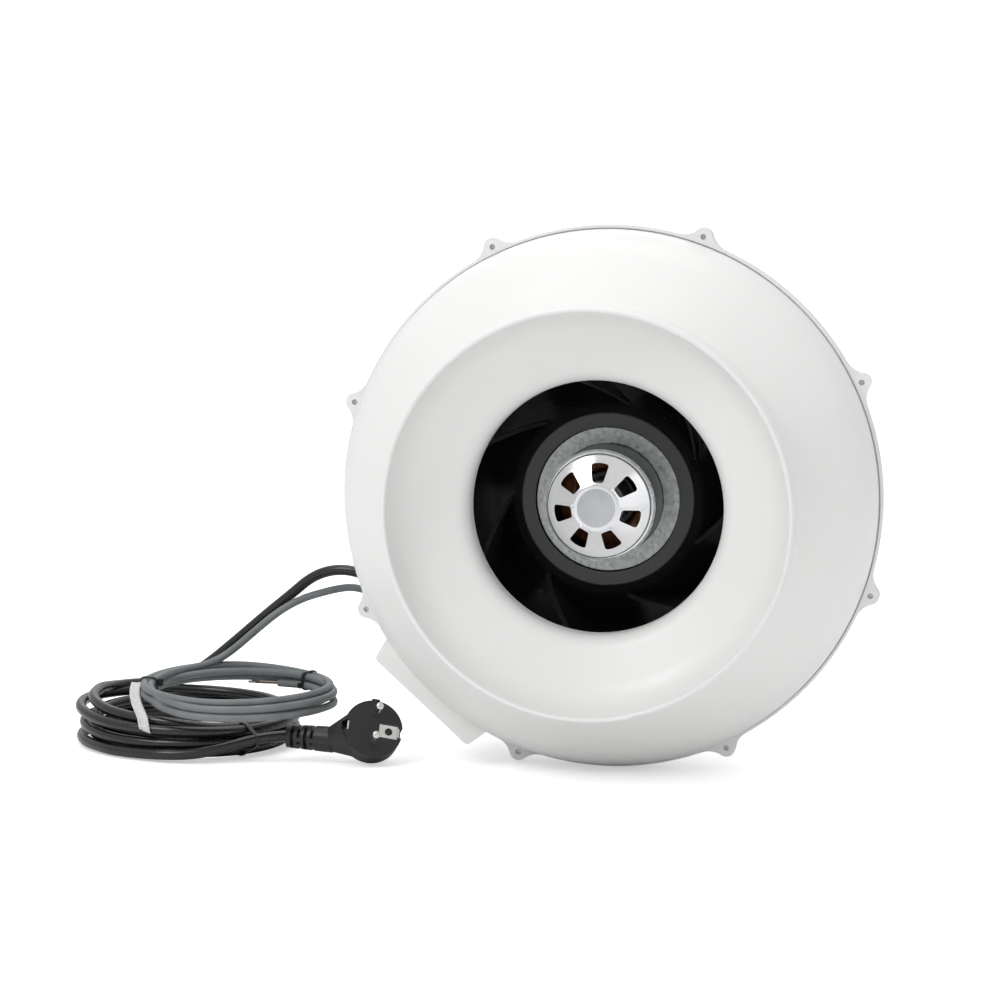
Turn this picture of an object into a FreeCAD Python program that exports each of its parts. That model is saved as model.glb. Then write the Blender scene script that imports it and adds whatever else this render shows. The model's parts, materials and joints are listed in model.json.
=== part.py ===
import FreeCAD, Part

import math
import os

# Inline duct fan: a two-shell plastic casing with a spigot at each end, a backward-curved impeller on an
# external-rotor motor held by a four-arm bracket, a terminal box moulded into the casing's side, a mains
# lead with a right-angled earthed plug and a thin control lead, both wound in coils on the floor.
#
# Millimetres. +Z is up, the fan's axis is parallel to Y, and air enters from -Y and leaves towards +Y.
# The origin is on the floor, under the casing's parting plane, where the fan stands on its rim.

V = FreeCAD.Vector
OUT = "parts"
os.makedirs(OUT, exist_ok=True)

# ---- casing --------------------------------------------------------------------------------------
rim_r = 170.0            # outer radius of the bolted rim
axis_z = rim_r           # height of the fan's axis, as the rim stands on the floor
spigot_r = 124.0         # outer radius of the spigots, for 250 mm duct
half_length = 107.0      # parting plane to either end of the casing
spigot_root_y = 77.5     # where the spigot meets the cone
spigot_fillet = 5.0
cone_angle = 42.0        # cone's half angle, from the axis
shoulder_r = 167.5       # outer radius of the shell just inside the rim
shoulder_round = 55.0
casing_wall = 3.0
seam_half = 0.6          # half the thickness of the seam gasket
rim_thickness = 3.8      # of each shell's rim
rim_inner_r = shoulder_r - 1.5
rim_clearing = 8.0       # depth kept free inside the rim
lip_r = 1.4              # rounded end of the inlet spigot
relief_width = 0.9       # narrow groove round the foot of the inlet shell
relief_depth = 2.0

ear_count = 8
ear_circle_r = 172.8     # centres of the screw ears
ear_r = 5.6
ear_blend_r = 14.0
ear_hole_r = 1.75
settle_roll = 3.0        # degrees that the fan has rolled towards its terminal box
ear_first = 22.5 + settle_roll

# ---- inlet nozzle --------------------------------------------------------------------------------
throat_r = 77.7
nozzle_slope = 65.0      # of the bowl's flank, from the axis
bowl_round = 28.0
throat_round = 14.0
nozzle_wall = 1.8
nozzle_end_y = -51.0

# ---- terminal box, square to the direction box_angle ---------------------------------------------
box_angle = 225.0 + settle_roll
box_top_u = 174.5        # distance of the lid's face from the fan's axis
box_half_width = 40.0    # at the lid
box_draft = 11.0         # degrees
box_front_y = -24.0
box_back_y = 79.2
box_wall = 2.6
box_root_u = 118.0       # deep enough to meet the casing everywhere
lid_thickness = 2.5
lid_seal_thickness = 0.8
lid_corner_r = 3.5
lid_screw_inset = 10.0

# ---- impeller ------------------------------------------------------------------------------------
blade_count = 7
blade_first = 26.2       # angle of one blade's inner tip at rest, degrees
blade_thickness = 2.2
wheel_r = 112.5
blade_inner_r = 61.0
blade_inlet_angle = 27.0
blade_outlet_angle = 38.0
blade_tip_y = -9.0       # front end of the blade's root, on the hub
eye_r = 81.6             # inner radius of the shroud's mouth
eye_y = -56.5
shroud_wall = 2.2
shroud_outer_y = -22.0
hub_bore_r = 45.5
hub_front_y = -12.5
backplate_y = 30.0
wheel_wall = 2.8

# ---- motor ---------------------------------------------------------------------------------------
rotor_r = 45.4
rotor_step_y = -10.0     # flat ring round the rotor's nose
rotor_nose_r = 34.6
rotor_nose_y = -46.5
rotor_wall = 1.4
rotor_back_y = 40.0
cap_r = rotor_nose_r - rotor_wall
cap_rim_y = -49.0
cap_front_r = cap_r - 1.0  # a dark groove is left between the cap's face and the nose
cap_groove_depth = 5.0
cap_crown_r = 13.0
cap_crown_y = -60.0
cap_wall = 1.6
window_count = 7
window_first = 35.5
window_inner_r = 15.9
window_outer_r = 26.7
window_half_angle = 12.2
WINDOW_BEADS = [(1.8, 0.5), (1.1, 1.0)]  # (width, height) of each step of the pressed bead round a window
slip = 0.02              # between parts pressed together
magnet_inner_r = 34.3
stator_r = 33.7
stack_front_y = -4.0
stack_back_y = 34.0
slot_count = 12
shaft_r = 4.0
bearing_outer_r = 11.0
bearing_width = 7.0
bearing_ys = (-34.0, 30.0)
ball_r = 1.95
ball_circle_r = 7.5
ball_count = 7
tube_r = 14.5            # stator's bearing tube
flange_r = 46.0
flange_front_y = 42.5
flange_thickness = 6.0
flange_screw_circle_r = 30.0
flange_pilot_r = 1.9
bracket_hole_r = 2.1
cable_hole_circle_r = 20.0

# ---- motor bracket -------------------------------------------------------------------------------
bracket_y = flange_front_y + flange_thickness
bracket_thickness = 2.0
bracket_disc_r = 42.0
arm_width = 22.0
arm_flange = 9.0
arm_reach = 136.0
arm_angles = [box_angle + 90.0 * k for k in range(4)]
boss_circle_r = 128.0
boss_r = 6.0

# ---- inside the terminal box, in its own frame: across, along the fan's axis, outwards -----------
grommet_across, grommet_y = 18.0, 64.0
grommet_r = 6.2
grommet_ends = (123.0, 142.5)
terminal_block_at = (-25.0, 42.0, 159.0)
terminal_block_size = (12.0, 30.0, 8.0)
pole_count = 4
capacitor_at = (-25.0, 67.8, 148.8)
capacitor_r, capacitor_length = 8.2, 36.0
motor_cable_d = 4.5
MOTOR_CABLE_ROUTE = [
    (0.0, 43.5, 20.0), (0.0, 58.0, 21.0), (3.0, 70.0, 30.0), (7.0, 75.0, 46.0), (12.0, 74.0, 66.0),
    (16.5, 68.0, 88.0), (18.0, 64.0, 110.0), (18.0, 64.0, 150.0), (11.0, 62.0, 162.0), (-2.0, 59.0, 164.5),
    (-12.6, 57.0, 163.5),
]

# ---- cords, plug ---------------------------------------------------------------------------------
mains_d = 7.0
control_d = 5.0
mains_gland_u, mains_gland_y, mains_gland_thread_r, mains_gland_flats = 150.5, 58.5, 7.0, 17.0
control_gland_u, control_gland_y, control_gland_thread_r, control_gland_flats = 162.0, 70.3, 5.0, 12.0
gland_thread_length = 7.5

# The mains lead's route from its gland's face, down to the back of its coil.
MAINS_ROUTE = [
    (-151.04, 58.5, 98.34), (-160.04, 58.5, 103.75), (-169.7, 58.8, 108.6), (-183.4, 60.0, 111.9),
    (-197.2, 62.8, 110.4), (-210.3, 67.2, 104.4), (-222.2, 72.0, 94.4), (-243.0, 77.8, 77.8),
    (-268.0, 83.8, 56.6), (-288.0, 89.8, 40.5), (-303.5, 92.6, 31.2), (-319.0, 91.6, 27.0),
]
# From the coil's front to the plug's strain relief.
MAINS_TAIL = [
    (-262.0, -43.0, 5.5), (-247.0, -38.6, 8.0), (-232.0, -30.6, 11.6),
    (-217.6, -23.4, 14.6), (-203.3, -20.8, 15.4),
]
# The control lead's route from its gland's face to the back of its coil.
CONTROL_ROUTE = [
    (-157.07, 70.3, 88.3), (-165.2, 70.3, 93.2), (-173.4, 70.3, 97.2), (-183.2, 70.3, 98.9),
    (-193.4, 70.4, 97.2), (-204.0, 70.1, 94.3), (-215.0, 69.5, 90.8), (-226.0, 68.9, 85.2),
    (-236.5, 69.0, 77.9), (-247.0, 68.6, 69.0), (-257.5, 67.9, 59.8), (-267.0, 66.0, 52.0),
    (-276.0, 62.4, 47.0), (-284.5, 57.2, 44.6),
]
mains_coil_centre = (-282.0, 30.0)
mains_coil_r = 63.0      # middle of the bundle
mains_coil_half_width = 11.5
mains_coil_top = 29.5
mains_tie_angle = -44.0
mains_tie_width = 2.6
control_coil_centre = (-246.0, 12.0)
control_coil_r = 57.0
control_coil_half_width = 8.5
control_coil_bottom = 29.5
control_coil_top = 46.5
control_tie_angles = (28.0, 186.0)
control_tie_width = 2.2
tie_thickness = 1.0
tie_gap = 0.1

# The blank tag that hangs from the control lead's left tie, over the front of the mains coil.
tag_start = V(-314.5, -10.5, 0)
tag_end = V(-298.0, -46.5, 0)
# (along, height, fillet)
TAG_PROFILE = [(0, 42.0, 0), (20.0, 34.0, 12.0), (32.0, 31.0, 6.0), (39.6, 24.0, 0)]
tag_width = 7.0
tag_thickness = 0.8

plug_face = V(-146.3, -28.2, 23.2)       # centre of the plug's face
plug_pin_dir = V(0.360, -0.806, 0.470)   # the way the pins point
plug_earth_dir = V(0.932, 0.301, -0.198)  # from the face's centre to the earth contact
plug_cable_dir = V(0.996, -0.07, -0.04)  # along the strain relief, towards the plug
plug_face_r = 18.8
plug_face_depth = 13.0
plug_swell_r = 18.0      # rounded back of the body, behind the face
plug_collar_length = 6.0
plug_pin_r = 2.4
plug_pin_length = 19.0
plug_pin_pitch = 19.0
earth_offset = 10.0
relief_start = V(-203.3, -20.8, 15.4)    # where the cord enters the strain relief
relief_length = 24.0
relief_r = (7.4, 8.2)                    # at the cord and at the plug


# ==================================================================================================
# Geometry helpers
# ==================================================================================================
def unit(dx, dy):
    length = math.hypot(dx, dy)
    return dx / length, dy / length


def polar(radius, degrees, y=0.0):
    """A point at this radius and angle round the fan's axis, before the fan is lifted off the floor."""
    a = math.radians(degrees)
    return V(radius * math.cos(a), y, radius * math.sin(a))


def rounded_edges(points, closed):
    """Straight edges through 2-D points (x, y, fillet), with a tangent arc of that radius at each."""
    n = len(points)
    edges, start, first = [], None, None
    for i, (x, y, fillet) in enumerate(points):
        corner = V(x, y, 0)
        if fillet <= 0 or (not closed and i in (0, n - 1)):
            entry = leave = corner
            arc = None
        else:
            before, after = points[i - 1], points[(i + 1) % n]
            back = unit(before[0] - x, before[1] - y)
            ahead = unit(after[0] - x, after[1] - y)
            half = math.acos(max(-1.0, min(1.0, back[0] * ahead[0] + back[1] * ahead[1]))) / 2
            reach = fillet / math.tan(half)
            entry = corner + V(back[0], back[1], 0) * reach
            leave = corner + V(ahead[0], ahead[1], 0) * reach
            bisector = V(back[0] + ahead[0], back[1] + ahead[1], 0)
            bisector.normalize()
            middle = corner + bisector * (fillet / math.sin(half) - fillet)
            arc = Part.Arc(entry, middle, leave).toShape()
        if start is not None and (entry - start).Length > 1e-6:
            edges.append(Part.makeLine(start, entry))
        if arc is not None:
            edges.append(arc)
        start = leave
        first = entry if first is None else first
    if closed and (first - start).Length > 1e-6:
        edges.append(Part.makeLine(start, first))
    return edges


def offset_path(path, distance):
    """The path moved to its left by distance, with its fillets grown or shrunk to stay parallel."""
    moved = []
    for i, (x, y, fillet) in enumerate(path):
        ways = []
        if i > 0:
            ways.append(unit(x - path[i - 1][0], y - path[i - 1][1]))
        if i < len(path) - 1:
            ways.append(unit(path[i + 1][0] - x, path[i + 1][1] - y))
        normals = [(-w[1], w[0]) for w in ways]
        turn = 0.0
        nx, ny = normals[0]
        if len(normals) == 2:
            share = 1 + nx * normals[1][0] + ny * normals[1][1]
            nx, ny = (nx + normals[1][0]) / share, (ny + normals[1][1]) / share
            turn = ways[0][0] * ways[1][1] - ways[0][1] * ways[1][0]
        shrink = distance if turn > 0 else -distance
        moved_fillet = max(fillet - shrink, 0.0) if fillet > 0 else 0.0
        moved.append((x + nx * distance, y + ny * distance, moved_fillet))
    return moved


def face_of(points):
    return Part.Face(Part.Wire(rounded_edges(points, closed=True)))


def revolve(points):
    """A solid of revolution about Y from a closed outline of (radius, y, fillet)."""
    return face_of(points).revolve(V(0, 0, 0), V(0, 1, 0), 360)


def revolved_sheet(path, wall):
    """A sheet of this wall, revolved about Y. The path is one face, and the wall grows to its left."""
    return revolve(path + offset_path(path, wall)[::-1])


def disc(radius, y0, y1, centre=V(0, 0, 0)):
    return Part.makeCylinder(radius, y1 - y0, V(centre.x, y0, centre.z), V(0, 1, 0))


def ring(inner, outer, y0, y1):
    return disc(outer, y0, y1).cut(disc(inner, y0, y1))


def fuse(shapes):
    shapes = list(shapes)
    return (shapes[0].multiFuse(shapes[1:]) if len(shapes) > 1 else shapes[0]).removeSplitter()


def around(count, first, make):
    """The shapes that make(angle) gives for this many evenly spaced angles."""
    return [make(first + 360.0 / count * k) for k in range(count)]


def turned(shape, degrees):
    """The shape turned about the fan's axis, from +X towards +Z."""
    copy = shape.copy()
    copy.rotate(V(0, 0, 0), V(0, 1, 0), -degrees)
    return copy


def in_box_frame(shape):
    """Places a shape drawn with X along the box's width, Y along the axis and Z outwards at box_angle."""
    return turned(shape, box_angle - 90)


def lifted(shape):
    copy = shape.copy()
    copy.translate(V(0, 0, axis_z))
    return copy


def along(shape, origin, direction):
    """A shape drawn along +Z at the origin, moved to origin and pointed in direction."""
    copy = shape.copy()
    copy.Placement = FreeCAD.Placement(origin, FreeCAD.Rotation(V(0, 0, 1), direction))
    return copy


def prism(points, height):
    """A closed outline of (x, y, fillet) extruded up Z."""
    return face_of(points).extrude(V(0, 0, height))


def hexagon(across_flats, height):
    corner_r = across_flats / math.sqrt(3)
    corners = [polar(corner_r, 60 * k) for k in range(6)]
    return prism([(c.x, c.z, 0) for c in corners], height)


def screw(shank_r, length, head_r, head_height):
    """A pan-head screw along +Z: its head's underside is at z 0, with a cross recess in its top."""
    head = Part.makeCylinder(head_r, head_height, V(0, 0, -head_height))
    head = head.makeFillet(head_height * 0.45, [head.Edges[2]])
    for turn in (0, 90):
        slot = Part.makeBox(head_r * 1.1, head_r * 0.24, head_height * 0.6,
                            V(-head_r * 0.55, -head_r * 0.12, -head_height * 1.05))
        slot.rotate(V(0, 0, 0), V(0, 0, 1), turn)
        head = head.cut(slot)
    return head.fuse(Part.makeCylinder(shank_r, length)).removeSplitter()


nodes = {}


def keep(name, shape):
    """Stores a node, checking that every solid in it is closed and valid."""
    solids = shape if isinstance(shape, list) else shape.Solids
    assert solids and all(s.isValid() and s.Volume > 0 for s in solids), name
    nodes[name] = Part.makeCompound(solids) if len(solids) > 1 else solids[0]


# ==================================================================================================
# Casing
# ==================================================================================================
def shell_path(sign):
    """Outer face of a shell, from lower y to higher y: sign -1 is the inlet shell, +1 the outlet shell."""
    rise = (shoulder_r - spigot_r) / math.tan(math.radians(cone_angle))
    path = [
        (spigot_r, half_length - (lip_r if sign < 0 else 0), 0),
        (spigot_r, spigot_root_y, spigot_fillet),
        (shoulder_r, spigot_root_y - rise, shoulder_round),
        (shoulder_r, seam_half, 0),
    ]
    path = [(r, sign * y, f) for r, y, f in path]
    return path if sign < 0 else path[::-1]


def shell_envelope(sign, depth):
    """The solid that fills a shell to within depth of its outer face."""
    face = offset_path(shell_path(sign), depth)
    return revolve([(0, face[0][1], 0)] + face + [(0, face[-1][1], 0)])


def rim_outline():
    """Edges of the rim: a circle with an ear for each screw, each ear blended in by two concave arcs."""
    blend_centre_r = rim_r + ear_blend_r
    reach_cos = (blend_centre_r ** 2 + ear_circle_r ** 2 - (ear_r + ear_blend_r) ** 2) / (
        2 * blend_centre_r * ear_circle_r)
    reach = math.degrees(math.acos(reach_cos))
    edges = []
    for k in range(ear_count):
        angle = ear_first + 360.0 / ear_count * k
        ear = polar(ear_circle_r, angle)
        feet, tips = [], []
        for side in (-1, 1):
            blend = polar(blend_centre_r, angle + side * reach)
            foot = polar(rim_r, angle + side * reach)
            to_ear = ear - blend
            to_ear.normalize()
            tip = blend + to_ear * ear_blend_r
            bow = (foot - blend) + (tip - blend)
            bow.normalize()
            edges.append(Part.Arc(foot, blend + bow * ear_blend_r, tip).toShape())
            feet.append(foot)
            tips.append(tip)
        edges.append(Part.Arc(tips[0], polar(ear_circle_r + ear_r, angle), tips[1]).toShape())
        gap_middle = polar(rim_r, angle + 180.0 / ear_count)
        next_foot = polar(rim_r, angle + 360.0 / ear_count - reach)
        edges.append(Part.Arc(feet[1], gap_middle, next_foot).toShape())
    return edges


def rim_plate(y0, y1):
    wire = Part.Wire(Part.__sortEdges__(rim_outline()))
    plate = Part.Face(wire).extrude(V(0, y1 - y0, 0))
    plate.translate(V(0, y0, 0))
    return plate.cut(disc(rim_inner_r, y0, y1))


def ear_holes(y0, y1, radius):
    return around(ear_count, ear_first, lambda a: disc(radius, y0, y1, polar(ear_circle_r, a)))


def box_outline(top, inset, root):
    """The terminal box's outline across the fan's axis, in (width, distance from axis, fillet)."""
    slope = math.tan(math.radians(box_draft))
    top_half = box_half_width + (box_top_u - top) * slope - inset
    root_half = box_half_width + (box_top_u - root) * slope - inset
    round_off = lid_corner_r if inset == 0 else 1.5
    return [(-root_half, root, 0), (root_half, root, 0),
            (top_half, top, round_off), (-top_half, top, round_off)]


def box_prism(y0, y1, top=box_top_u, inset=0.0, root=box_root_u):
    block = prism(box_outline(top, inset, root), y1 - y0)
    block.rotate(V(0, 0, 0), V(1, 0, 0), 90)
    block.translate(V(0, y1, 0))
    return in_box_frame(block)


def inlet_casing():
    skin = revolved_sheet(shell_path(-1), casing_wall)
    half_turn = math.radians(nozzle_slope / 2)
    inner_r = spigot_r - 2 * lip_r
    lip_y = lip_r - half_length
    bowl_y = lip_y + bowl_round * math.tan(half_turn)
    throat_y = bowl_y + (inner_r - throat_r) / math.tan(math.radians(nozzle_slope))
    nozzle_path = [(inner_r, lip_y, 0), (inner_r, bowl_y, bowl_round),
                   (throat_r, throat_y, throat_round), (throat_r, nozzle_end_y, 0)]
    nozzle = revolved_sheet(nozzle_path, -nozzle_wall)
    lip = Part.makeTorus(spigot_r - lip_r, lip_r, V(0, lip_y, 0), V(0, 1, 0))
    rim = rim_plate(-seam_half - rim_thickness, -seam_half)
    nose_shell = box_prism(box_front_y, -seam_half).cut(
        box_prism(box_front_y + box_wall, 0, top=box_top_u - box_wall, inset=box_wall))
    nose_shell = nose_shell.cut(shell_envelope(-1, casing_wall / 2))
    nose_shell = nose_shell.cut(disc(rim_inner_r, -seam_half - rim_clearing, 0))
    body = fuse([skin, nozzle, lip, rim, nose_shell])
    groove = ring(shoulder_r, shoulder_r + relief_width,
                  -seam_half - rim_thickness - 0.5, -seam_half - rim_thickness + relief_depth)
    groove = groove.cut(box_prism(box_front_y, 0))
    for cutter in [groove] + ear_holes(-10, 0, ear_hole_r):
        body = body.cut(cutter)
    return body.removeSplitter()


def lid_screw_places():
    """(across, y) of the lid's four screws, in the box's frame."""
    across = box_half_width - lid_screw_inset
    ys = (seam_half + lid_screw_inset, box_back_y - lid_screw_inset)
    return [(x, y) for x in (-across, across) for y in ys]


def gland_axis(u, y):
    """(seat, direction): where a gland's axis meets the box's end wall, and the way it points."""
    slope = math.radians(box_draft)
    across = box_half_width + (box_top_u - u) * math.tan(slope)
    seat = V(across, y, u)
    direction = V(math.cos(slope), 0, math.sin(slope))
    turn = FreeCAD.Rotation(V(0, 1, 0), -(box_angle - 90))
    return turn.multVec(seat), turn.multVec(direction)


def outlet_casing():
    skin = revolved_sheet(shell_path(1), casing_wall)
    rim = rim_plate(seam_half, seam_half + rim_thickness)
    wall_top = box_top_u - lid_thickness - lid_seal_thickness
    shell = box_prism(seam_half, box_back_y, top=wall_top).cut(
        box_prism(seam_half + box_wall, box_back_y - box_wall, top=wall_top + 5, inset=box_wall))
    inside = shell_envelope(1, casing_wall / 2)
    rim_space = disc(rim_inner_r, 0, seam_half + rim_clearing)
    shell = shell.cut(inside).cut(rim_space)
    posts = []
    for x, y in lid_screw_places():
        post = Part.makeCylinder(4.0, wall_top - box_root_u, V(x, y, box_root_u))
        posts.append(in_box_frame(post))
    posts = fuse(posts).cut(inside).cut(rim_space)
    bosses = around(4, arm_angles[0], lambda a: disc(
        boss_r, bracket_y + bracket_thickness, half_length, polar(boss_circle_r, a)).common(inside))
    body = fuse([skin, rim, shell, posts] + bosses)
    for x, y in lid_screw_places():
        pilot = Part.makeCylinder(1.3, 14, V(x, y, wall_top - 14))
        body = body.cut(in_box_frame(pilot))
    for u, y, thread_r in ((mains_gland_u, mains_gland_y, mains_gland_thread_r),
                           (control_gland_u, control_gland_y, control_gland_thread_r)):
        seat, direction = gland_axis(u, y)
        body = body.cut(Part.makeCylinder(thread_r + 0.1, 12, seat - direction * 6, direction))
    pilots = around(4, arm_angles[0], lambda a: disc(
        1.5, bracket_y, bracket_y + bracket_thickness + 10, polar(boss_circle_r, a)))
    low, high = grommet_ends
    pilots.append(in_box_frame(Part.makeCylinder(grommet_r, high - low, V(grommet_across, grommet_y, low))))
    for cutter in ear_holes(0, 10, ear_hole_r + 0.3) + pilots:
        body = body.cut(cutter)
    return body.removeSplitter()


def casing_screws():
    def one(angle):
        head_y = seam_half + rim_thickness
        return along(screw(1.6, 7.2, 3.6, 2.4), polar(ear_circle_r, angle, head_y), V(0, -1, 0))
    return around(ear_count, ear_first, one)


def terminal_box_parts():
    wall_top = box_top_u - lid_thickness - lid_seal_thickness
    lid = box_prism(seam_half, box_back_y).cut(
        box_prism(0, box_back_y + 1, top=box_top_u - lid_thickness, inset=-5, root=box_root_u - 5))
    seal_outer = box_prism(seam_half + 0.3, box_back_y - 0.3, top=wall_top + lid_seal_thickness, inset=0.3)
    seal_inner = box_prism(seam_half + box_wall, box_back_y - box_wall, top=wall_top + 5, inset=box_wall)
    seal = seal_outer.cut(seal_inner).cut(
        box_prism(0, box_back_y + 1, top=wall_top, inset=-5, root=box_root_u - 5))
    screws = []
    for x, y in lid_screw_places():
        post = in_box_frame(Part.makeCylinder(1.6, 20, V(x, y, wall_top - 5)))
        recess = in_box_frame(Part.makeCylinder(3.4, 5, V(x, y, box_top_u - 1.7)))
        lid = lid.cut(post).cut(recess)
        seal = seal.cut(post)
        one = screw(1.25, 11, 3.0, 1.5)
        downwards = FreeCAD.Rotation(V(0, 0, 1), V(0, 0, -1))
        one.Placement = FreeCAD.Placement(V(x, y, box_top_u - 1.7), downwards)
        screws.append(in_box_frame(one))
    return lid, seal, screws


def terminal_block_parts():
    x, y, z = terminal_block_at
    wide, long, high = terminal_block_size
    block = Part.makeBox(wide, long, high, V(x, y, z))
    pitch = long / pole_count
    clamps = []
    for k in range(pole_count):
        across, along_axis = x + wide / 2, y + pitch * (k + 0.5)
        block = block.cut(Part.makeCylinder(2.0, high, V(across, along_axis, z + 3)))
        clamps.append(Part.makeCylinder(1.8, high - 4, V(across, along_axis, z + 3)))
    return in_box_frame(block), [in_box_frame(c) for c in clamps]


def capacitor():
    can = Part.makeCylinder(capacitor_r, capacitor_length, V(*capacitor_at), V(1, 0, 0))
    return in_box_frame(can.makeFillet(1.5, [can.Edges[0], can.Edges[2]]))


def motor_cable():
    return in_box_frame(cord_tube(MOTOR_CABLE_ROUTE, motor_cable_d, "motor cable"))


def cable_grommet():
    low, high = grommet_ends
    sleeve = Part.makeCylinder(grommet_r, high - low, V(grommet_across, grommet_y, low))
    bore = Part.makeCylinder(motor_cable_d / 2 + slip, high - low, V(grommet_across, grommet_y, low))
    return in_box_frame(sleeve.cut(bore))


def gland_parts(u, y, cable_d, thread_r, flats):
    """(body, cap, lock nut, seal) of one gland. The cord leaves at the cap's face, 20 mm from the wall."""
    seat, direction = gland_axis(u, y)
    thread = Part.makeCylinder(thread_r, gland_thread_length, V(0, 0, -gland_thread_length))
    body = hexagon(flats, 5).fuse(thread)
    body = body.fuse(Part.makeCylinder(thread_r - 0.6, 4, V(0, 0, 5))).removeSplitter()
    body = body.cut(Part.makeCylinder(thread_r - 1.6, 40, V(0, 0, -15)))
    dome_r = flats / 2 - 0.2
    mouth_r = cable_d / 2 + 1.6
    cap = revolve([(0, 9, 0), (dome_r, 9, 0), (dome_r, 16, 3.5), (mouth_r, 20, 0), (0, 20, 0)])
    cap.rotate(V(0, 0, 0), V(1, 0, 0), 90)
    cap = cap.cut(Part.makeCylinder(cable_d / 2 + 0.9, 12, V(0, 0, 9)))
    for k in range(12):
        flute = Part.makeCylinder(0.8, 6.5, V(flats / 2 + 0.1, 0, 8.5))
        flute.rotate(V(0, 0, 0), V(0, 0, 1), 30 * k)
        cap = cap.cut(flute)
    nut = hexagon(flats, 3.5)
    nut.translate(V(0, 0, -box_wall - 3.5))
    nut = nut.cut(Part.makeCylinder(thread_r, 12, V(0, 0, -12)))
    seal = Part.makeCylinder(cable_d / 2 + 0.9, 11, V(0, 0, 9))
    return [along(s, seat, direction) for s in (body, cap, nut, seal)]


# ==================================================================================================
# Impeller
# ==================================================================================================
def hub_path():
    """Front face of the hub and backplate, from the rotor out to the wheel's edge."""
    return [(hub_bore_r, hub_front_y, 0), (54.0, hub_front_y, 2.0), (60.0, blade_tip_y + 1, 10.0),
            (82.0, backplate_y - 8, 26.0), (wheel_r, backplate_y, 0)]


def shroud_path():
    """Inner face of the shroud, from the eye out to the wheel's edge."""
    return [(eye_r, eye_y, 0), (eye_r, eye_y + 12, 16.0), (wheel_r, shroud_outer_y, 0)]


def blade_outline():
    """(centre, radius, start, sweep) of the arc that a blade's plate is bent to, starting at angle 0."""
    inlet, outlet = math.radians(blade_inlet_angle), math.radians(blade_outlet_angle)
    outer_r = wheel_r - 0.3
    bend = (outer_r ** 2 - blade_inner_r ** 2) / (
        2 * (outer_r * math.cos(outlet) - blade_inner_r * math.cos(inlet)))
    start = V(blade_inner_r, 0, 0)
    # The tangent leans back by the inlet angle from the circle's tangent, and the centre is square to it.
    centre = V(blade_inner_r - bend * math.cos(inlet), bend * math.sin(inlet), 0)
    gap = centre.Length
    sweep_cos = (gap ** 2 + bend ** 2 - outer_r ** 2) / (2 * gap * bend)
    start_cos = (gap ** 2 + bend ** 2 - blade_inner_r ** 2) / (2 * gap * bend)
    sweep = math.acos(sweep_cos) - math.acos(start_cos)
    return centre, bend, start, sweep


def blade(angle):
    centre, bend, start, sweep = blade_outline()
    spoke = start - centre
    spoke.normalize()

    def point(share, radius):
        turn = FreeCAD.Rotation(V(0, 0, 1), math.degrees(sweep * share))
        return centre + turn.multVec(spoke) * radius

    inner, outer = bend - blade_thickness / 2, bend + blade_thickness / 2
    edges = [
        Part.Arc(point(0, inner), point(0.5, inner), point(1, inner)).toShape(),
        Part.makeLine(point(1, inner), point(1, outer)),
        Part.Arc(point(1, outer), point(0.5, outer), point(0, outer)).toShape(),
        Part.Arc(point(0, outer), point(-0.012, bend), point(0, inner)).toShape(),
    ]
    plate = Part.Face(Part.Wire(edges)).extrude(V(0, 0, 110))
    plate.rotate(V(0, 0, 0), V(1, 0, 0), 90)
    plate.translate(V(0, 45, 0))
    return turned(plate, angle)


def blade_region():
    """Solid that the blades fill: hub face to shroud face, from their leading edges outwards."""
    sunk = offset_path(hub_path(), -0.8)[2:]
    front = shroud_path()[1:]
    outline = [(58.0, blade_tip_y, 0), (eye_r, eye_y + 4, 0)] + front + [
        (wheel_r, backplate_y + 0.8, 0)] + sunk[-2::-1] + [(58.0, blade_tip_y + 2, 0)]
    return revolve(outline)


def impeller_wheel():
    disc_and_hub = revolved_sheet(hub_path(), wheel_wall)
    sleeve = ring(hub_bore_r, hub_bore_r + 3.0, hub_front_y + 0.5, 24.0)
    ribs = around(blade_count, 0, lambda a: turned(
        Part.makeBox(24, 24, 1.8, V(hub_bore_r + 1, 0, -0.9)), a))
    under = revolve([(hub_bore_r + 1, 0, 0), (hub_bore_r + 1, 24, 0), (78, 24, 0), (64, 2, 0), (60, -5, 0)])
    ribs = [r.common(under) for r in ribs]
    region = blade_region()
    blades = around(blade_count, blade_first, lambda a: blade(a).common(region))
    return fuse([disc_and_hub, sleeve] + ribs + blades)


def impeller_shroud():
    return revolved_sheet(shroud_path(), -shroud_wall)


# ==================================================================================================
# Motor
# ==================================================================================================
def rotor_cup():
    path = [(rotor_r, rotor_back_y, 0), (rotor_r, rotor_step_y, 0.8), (rotor_nose_r, rotor_step_y, 0.8),
            (rotor_nose_r, rotor_nose_y, 0)]
    return revolved_sheet(path, -rotor_wall)


def sector(inner, outer, half_angle, round_off, y0, y1):
    """A rounded ring sector centred on angle 0, between two radii, extruded along the axis."""
    a = math.radians(half_angle)
    bow = 1.03               # the outer side's corner stands this far out, and is rounded off
    points = [(inner * math.cos(a), -inner * math.sin(a), round_off),
              (outer * math.cos(a), -outer * math.sin(a), round_off),
              (outer * bow, 0, outer * 0.6),
              (outer * math.cos(a), outer * math.sin(a), round_off),
              (inner * math.cos(a), inner * math.sin(a), round_off)]
    block = prism(points, y1 - y0)
    block.rotate(V(0, 0, 0), V(1, 0, 0), 90)
    block.translate(V(0, y1, 0))
    return block


def cap_face():
    """The cap's domed face, from its rim to its crown."""
    return [(cap_front_r, cap_rim_y, 2.0), (cap_crown_r + 1.0, cap_crown_y, 1.8), (0, cap_crown_y, 0)]


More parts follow.
